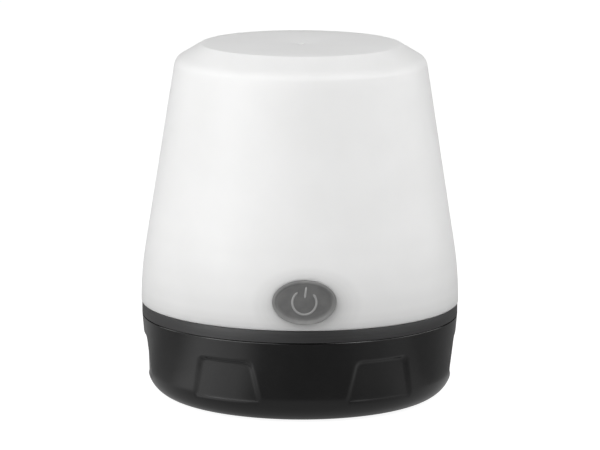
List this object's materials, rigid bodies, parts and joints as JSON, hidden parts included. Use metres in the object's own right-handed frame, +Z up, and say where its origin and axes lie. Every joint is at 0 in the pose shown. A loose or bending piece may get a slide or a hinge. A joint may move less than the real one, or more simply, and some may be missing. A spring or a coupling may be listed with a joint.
{
  "type": "battery camping lantern",
  "caption": "Small battery lantern: a frosted tapered shade with a rubber power button on a dark collar, above a twist-off cup with finger grips and a folding hook.",
  "frame": {"origin": "on the lantern's axis, at the surface it stands on", "axes": "+Z up along the lantern's axis; the power button faces -Y; +X to the right seen from the front"},
  "size_m": [0.09, 0.09, 0.1004],
  "materials": {
    "frosted_shade": "frosted white translucent plastic, satin outside",
    "satin_black": "satin black moulded plastic",
    "gloss_black": "glossy black moulded plastic",
    "grey_silicone": "matt grey silicone rubber",
    "black_rubber": "matt black rubber",
    "inner_black": "plain black moulded plastic",
    "white_plastic": "white moulded plastic",
    "green_board": "green circuit board",
    "white_board": "aluminium lamp board with a white coating",
    "led": "yellow phosphor in a white package",
    "cell_can": "plain wrapped cell, satin",
    "steel": "nickel-plated steel",
    "red_wire": "red wire insulation",
    "white_wire": "white wire insulation",
    "black_wire": "black wire insulation"
  },
  "bodies": {
    "lamp_head": {"diffuser": "frosted_shade", "collar": "satin_black", "button_frame": "inner_black", "switch_board": "green_board", "switch_body": "inner_black", "lamp_board": "white_board", "led_1": "led", "led_2": "led", "led_3": "led", "led_4": "led", "led_5": "led", "led_6": "led", "reflector": "white_plastic", "battery_holder": "inner_black", "cell_1": "cell_can", "cell_2": "cell_can", "cell_3": "cell_can", "contact_spring_1": "steel", "contact_spring_2": "steel", "contact_spring_3": "steel", "contact_plate_1": "steel", "contact_plate_2": "steel", "contact_plate_3": "steel", "wire_positive": "red_wire", "wire_switched": "white_wire", "wire_negative": "black_wire", "base_seal": "black_rubber", "lamp_board_screw_1": "steel", "lamp_board_screw_2": "steel", "lamp_board_screw_3": "steel", "holder_screw_1": "steel", "holder_screw_2": "steel", "holder_screw_3": "steel", "holder_screw_4": "steel", "frame_screw_1": "steel", "frame_screw_2": "steel", "switch_board_screw_1": "steel", "switch_board_screw_2": "steel"},
    "power_button": {"power_button": "grey_silicone"},
    "switch_plunger": {"switch_plunger": "white_plastic"},
    "base": {"base_cup": "gloss_black", "foot_pad_1": "black_rubber", "foot_pad_2": "black_rubber", "foot_pad_3": "black_rubber", "foot_pad_4": "black_rubber"},
    "hook": {"hanging_hook": "satin_black"}
  },
  "joints": [
    {"name": "button_press", "type": "slide", "parent": "lamp_head", "child": "power_button", "axis": [0, 1, 0], "range_m": [0, 0.001], "stiffness_N_per_m": 1500},
    {"name": "plunger_press", "type": "slide", "parent": "lamp_head", "child": "switch_plunger", "axis": [0, 1, 0], "range_m": [0, 0.001]},
    {"name": "base_twist", "type": "hinge", "parent": "lamp_head", "child": "base", "pos_m": [0, 0, 0.0205], "axis": [0, 0, 1], "range_deg": [0, 30]},
    {"name": "hook_fold", "type": "hinge", "parent": "base", "child": "hook", "pos_m": [0, 0, 0.0023], "axis": [-1, 0, 0], "range_deg": [0, 90]}
  ],
  "couplings": [
    {"joint": "plunger_press", "follows": "button_press", "ratio": 1}
  ]
}
